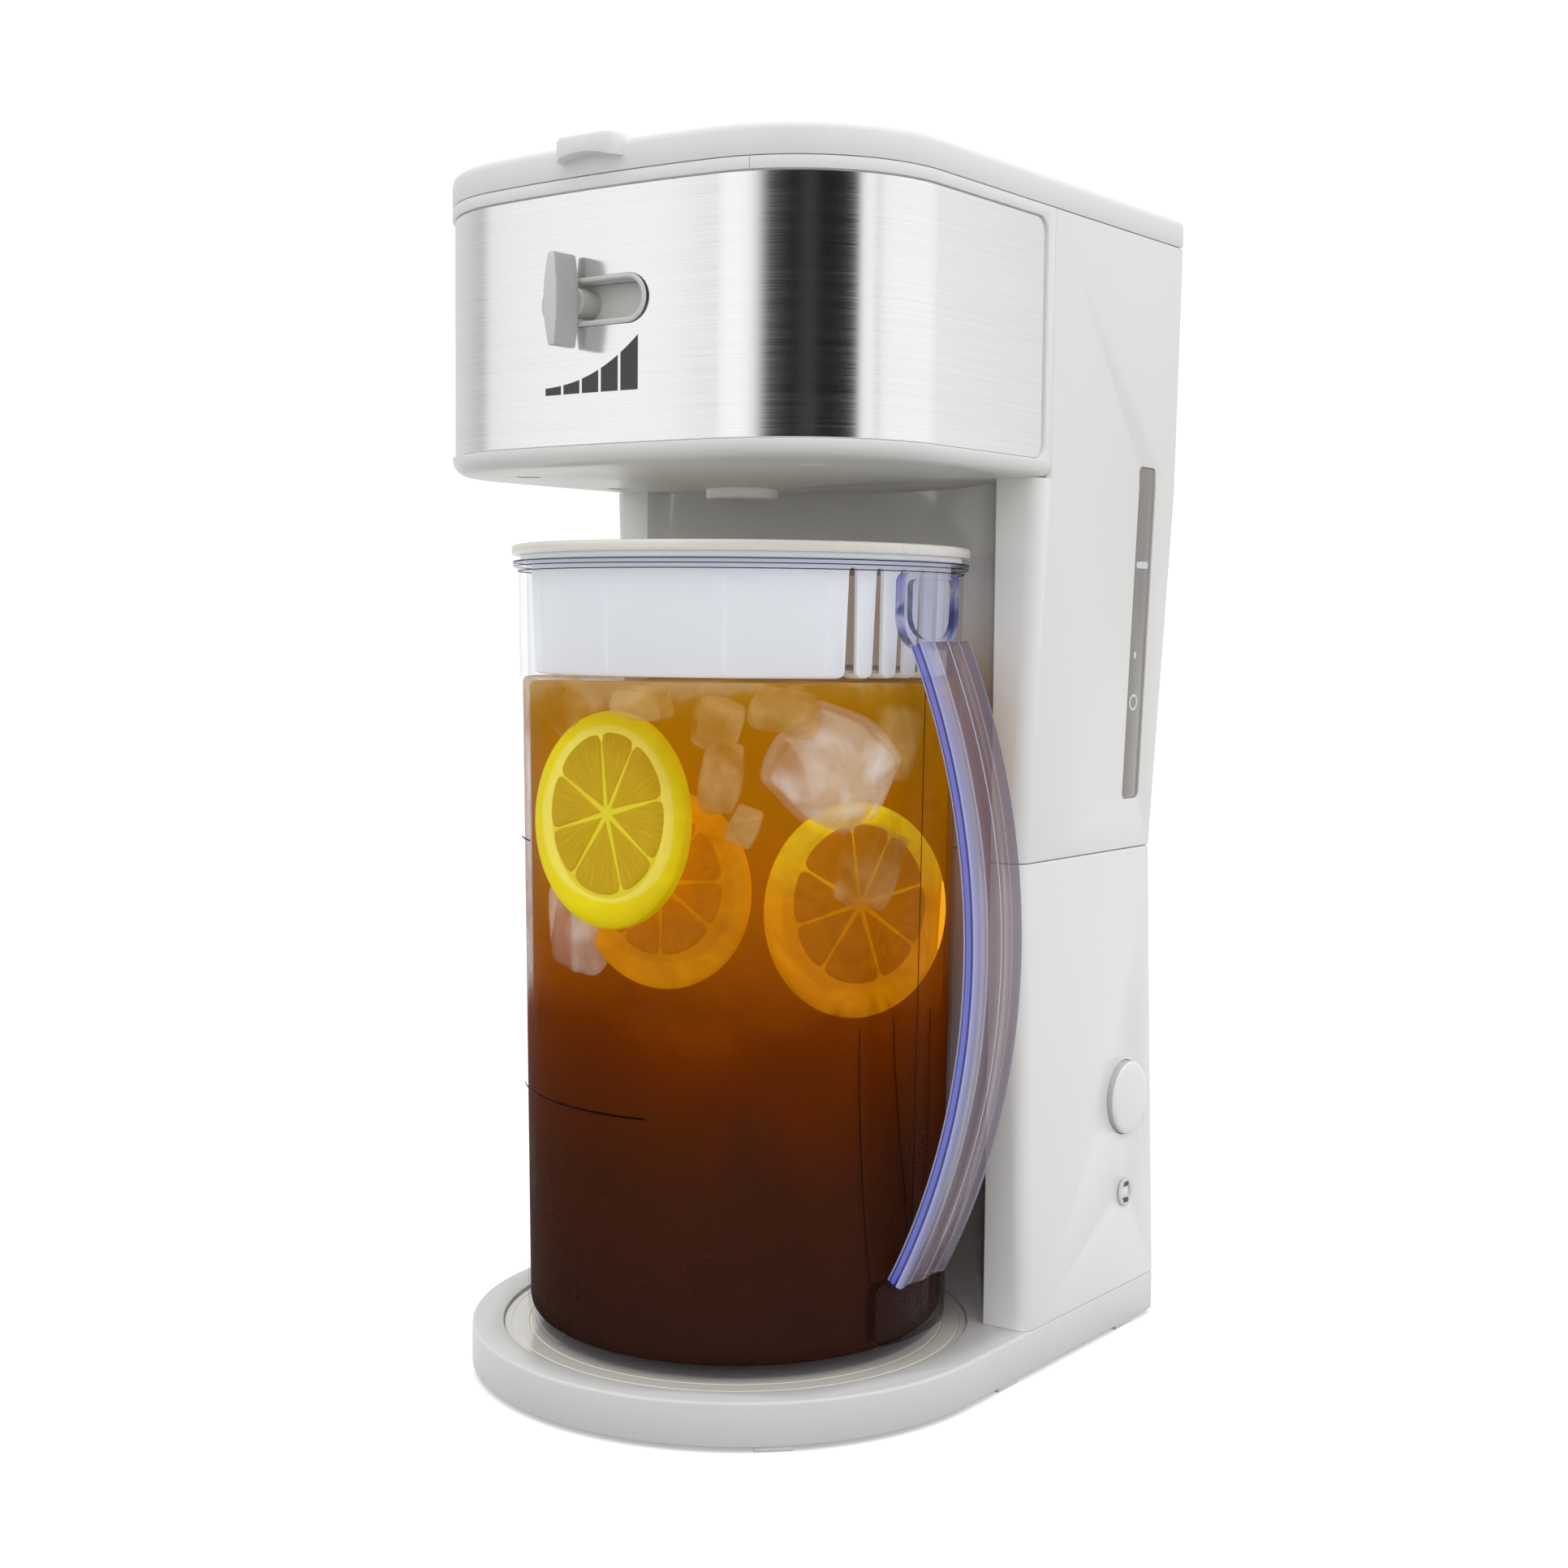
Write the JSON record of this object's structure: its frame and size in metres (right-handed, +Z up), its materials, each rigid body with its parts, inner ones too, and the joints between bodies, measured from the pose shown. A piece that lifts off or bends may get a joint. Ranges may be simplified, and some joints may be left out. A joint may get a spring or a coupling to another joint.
{
  "type": "iced tea maker",
  "caption": "Countertop iced tea maker: waisted tower with water tank, overhanging head with strength slider and steel front, clear pitcher with brew basket and blue handle.",
  "frame": {"origin": "on the surface it stands on, under the middle of the whole object with its handle", "axes": "+Z up, -Y the front with the strength slider, +X the side with the level window, the brew button and the pitcher's handle"},
  "size_m": [0.189, 0.2242, 0.3877],
  "materials": {
    "white_plastic": "white moulded plastic with a soft gloss",
    "cream_plastic": "warm white moulded plastic",
    "grey_plastic": "grey moulded plastic",
    "silver_plastic": "silver grey painted plastic",
    "dark_plastic": "black moulded plastic",
    "tank_plastic": "milky water tank plastic",
    "smoke_window": "smoked clear plastic of the level window",
    "lamp_lens": "clear lamp lens, unlit",
    "clear_plastic": "clear moulded plastic",
    "blue_clear_plastic": "clear blue moulded plastic",
    "brushed_steel": "stainless steel brushed from side to side",
    "steel": "plated steel",
    "aluminium": "extruded aluminium",
    "rubber": "black rubber",
    "hose_rubber": "pale silicone rubber"
  },
  "bodies": {
    "machine": {"base_shell": "white_plastic", "base_plate": "grey_plastic", "base_screws": "steel", "feet": "white_plastic", "seat_disc": "cream_plastic", "lower_housing": "white_plastic", "rear_cover": "white_plastic", "cover_screws": "steel", "cord_gland": "dark_plastic", "tank_housing": "white_plastic", "water_tank": "tank_plastic", "tank_seals": "rubber", "level_window": "smoke_window", "head_casing": "white_plastic", "casing_plugs": "white_plastic", "head_deck": "white_plastic", "steel_panel": "brushed_steel", "slot_bezel": "grey_plastic", "slide_guide": "white_plastic", "outlet_funnel": "white_plastic", "outlet_ring": "white_plastic", "riser_tube": "white_plastic", "check_valve": "white_plastic", "inlet_hose": "hose_rubber", "outlet_hose": "hose_rubber", "heater": "aluminium", "heater_bracket": "steel", "thermostat": "dark_plastic", "thermal_fuse": "aluminium", "button_switch": "dark_plastic", "indicator_ring": "white_plastic", "indicator_lens": "lamp_lens", "hinge_pins": "steel"},
    "lid": {"tank_lid": "white_plastic"},
    "slider": {"strength_knob": "silver_plastic", "slide_carriage": "grey_plastic"},
    "button": {"brew_button": "white_plastic"},
    "pitcher": {"pitcher_body": "clear_plastic", "pitcher_handle": "blue_clear_plastic"},
    "basket": {"brew_basket": "white_plastic", "basket_filter": "grey_plastic"},
    "cover": {"pitcher_lid": "cream_plastic"}
  },
  "joints": [
    {"name": "tank_lid_hinge", "type": "hinge", "parent": "machine", "child": "lid", "pos_m": [-0.00555, 0.1088, 0.3798], "axis": [-1, 0, 0], "range_deg": [0, 94]},
    {"name": "strength_slide", "type": "slide", "parent": "machine", "child": "slider", "axis": [1, 0, 0], "range_m": [-0.00675, 0.02025]},
    {"name": "brew_button_press", "type": "slide", "parent": "machine", "child": "button", "axis": [-1, 0, 0], "range_m": [0, 0.0022], "stiffness_N_per_m": 400, "springref_m": -0.003},
    {"name": "pitcher_out", "type": "slide", "parent": "machine", "child": "pitcher", "axis": [0, -0.995, 0.0995], "range_m": [0, 0.2]},
    {"name": "basket_lift", "type": "slide", "parent": "pitcher", "child": "basket", "axis": [0, 0, 1], "range_m": [0, 0.006]},
    {"name": "cover_lift", "type": "slide", "parent": "basket", "child": "cover", "axis": [0, 0, 1], "range_m": [0, 0.006]}
  ]
}
